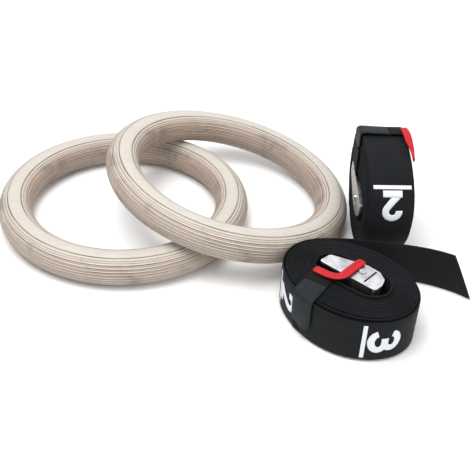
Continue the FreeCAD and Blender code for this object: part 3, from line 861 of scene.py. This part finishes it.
# ---- ties and red tabs ----------------------------------------------------------------
FACE = WEB_W / 2 + LAY  # where a tie lies on the coil's face, and half its thickness
H = TIE_T / 2
UP_STOP = 11.5          # where the upright tie's flap ends on the coil's face
flat_wall = Wall(flat, (-16.5, -28.0), math.radians(-81.0), 0.0)
up_wall = Wall(upright, to_coil(10.0, 30.0), UP_TIE_AT, TOP_SHIFT)


def flat_flap(y):
    s = flat_wall.rim(y) + 2 * LAY + TIE_T + H
    return [(0.4, FACE + H + 0.05), (s - 9.0, FACE + H + 0.1), (s + 1.6, FACE + H + 0.6),
            (s + 1.2, 8.0), (s, -12.0)]


def flat_band(y):
    w = flat_wall
    return [(0.0, FACE + H), (w.hole(y) - LAY - H, FACE + H), (w.hole(y) - LAY - H, -FACE - H),
            (w.rim(y) + LAY + H, -FACE - H), (w.rim(y) + LAY + H, FACE - 2.6)]


def up_flap(y):
    s = up_wall.rim(y) + LAY + H
    return [(s, 5.0), (s + 0.5, -8.0), (s + 1.3, -FACE - H - 0.9), (s - 9.0, -FACE - H - 0.3),
            (UP_STOP, -FACE - H)]


def up_band(y):
    w = up_wall
    s = w.rim(y) + LAY + H
    return [(s, 5.4), (s, FACE + H), (w.hole(y) - LAY - H, FACE + H),
            (w.hole(y) - LAY - H, -FACE - H), (UP_STOP - 0.6, -FACE - H)]


for wall, flap, band in ((flat_wall, flat_flap, flat_band), (up_wall, up_flap, up_band)):
    tie = wall.coil.name + "_tie_"
    build_band(tie + "flap", wall, flap, 9.0, 5.0, TIE, "tie")
    build_band(tie + "band", wall, band, 0.0, 2.6, HOOK, "tie_hook")

FLAT_TAB = [(-28.2, -15.6, 23.4), (-20.0, -15.3, 23.6), (-12.0, -15.0, 24.4),
            (-5.5, -14.0, 26.2), (-1.8, -11.0, 27.8), (-1.0, -6.0, 28.6), (-1.0, 3.0, 28.6),
            (-1.0, 10.0, 28.6), (-0.8, 17.0, 28.2)]
ways = [Vector(b) - Vector(a)
        for a, b in zip([FLAT_TAB[0]] + FLAT_TAB, FLAT_TAB[1:] + [FLAT_TAB[-1]])]
build_tab(flat, FLAT_TAB, [Vector((-w.y, w.x, 0)).normalized() for w in ways], 8.4)

# angle over the top, place across, stand-off and twist, in degrees and millimetres
UP_TAB = [(100, 13.8, 2.9, 0), (95, 14.4, 2.9, 0), (89, 14.9, 2.6, 0), (83, 15.3, 2.0, 4),
          (77, 15.8, 1.1, 15), (71, 17.0, -0.3, 40), (65, 17.9, -1.8, 62), (58, 18.8, -3.0, 80)]
tab_line, tab_sides = [], []
for deg, across, off, twist in UP_TAB:
    angle, twist = math.radians(deg), math.radians(twist)
    outward = to_coil(-math.cos(angle), math.sin(angle)).to_3d()
    tab_line.append(over_top(angle, off).to_3d() + Vector((0, 0, across)))
    tab_sides.append(Vector((0, 0, math.cos(twist))) - outward * math.sin(twist))
build_tab(upright, tab_line, tab_sides, 7.0)

# ---- metal parts keep their CAD shape ---------------------------------------------------
for prefix in ("flat", "upright"):
    for part, mat in (("buckle_frame", CAST), ("cam_lever", CAST), ("anchor_bar", STEEL),
                      ("cam_pin", STEEL), ("cam_spring", STEEL)):
        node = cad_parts[prefix + "_" + part]
        node.data.materials.clear()
        node.data.materials.append(mat)

# ---- floor, light and camera --------------------------------------------------------------
ground = Look("floor_pale", 0.75)
gpos = object_coords(ground)
ground.colour(ground.mix(ground.noise(gpos, 6.0, 3.0), (0.90, 0.90, 0.90), (0.93, 0.93, 0.93)))
REACH = 40.0            # half the floor's side, in metres
floor = make("floor",
             [(-REACH, -REACH, 0), (REACH, -REACH, 0), (REACH, REACH, 0), (-REACH, REACH, 0)],
             [(0, 1, 2, 3)], ground.mat)

world = bpy.data.worlds.new("studio")
world.use_nodes = True
sky = world.node_tree.nodes["Background"]
sky.inputs["Color"].default_value = (1.0, 1.0, 1.0, 1.0)
sky.inputs["Strength"].default_value = 0.62
bpy.context.scene.world = world
bpy.context.scene.view_settings.view_transform = "Standard"


def softbox(name, place, target, width, power):
    data = bpy.data.lights.new(name, "AREA")
    data.shape, data.size, data.energy = "SQUARE", width, power
    lamp = bpy.data.objects.new(name, data)
    place = Vector(place)
    lamp.matrix_world = (Matrix.Translation(place)
                         @ (place - Vector(target)).to_track_quat("Z", "Y").to_matrix().to_4x4())
    bpy.context.scene.collection.objects.link(lamp)


softbox("key", (-0.35, -0.25, 1.5), (0, 0, 0), 1.0, 21.5)
softbox("fill", (0.9, -0.7, 0.9), (0, 0, 0), 0.8, 4.0)
softbox("back", (0.2, 1.1, 0.9), (0, 0, 0), 0.9, 2.6)

TILT, ROLL = math.radians(35.9647), math.radians(3.2468)
cam = bpy.data.cameras.new("camera")
cam.sensor_width, cam.lens = 36.0, 66.79
view = bpy.data.objects.new("camera", cam)
fwd = Vector((0, math.cos(TILT), -math.sin(TILT)))
right0, up0 = Vector((1, 0, 0)), Vector((0, math.sin(TILT), math.cos(TILT)))
right = right0 * math.cos(ROLL) + up0 * math.sin(ROLL)
up = up0 * math.cos(ROLL) - right0 * math.sin(ROLL)
pose = Matrix((right, up, -fwd)).transposed().to_4x4()
pose.translation = Vector((0.00925, -0.6956, 0.5046))
view.matrix_world = pose
bpy.context.scene.collection.objects.link(view)
bpy.context.scene.camera = view
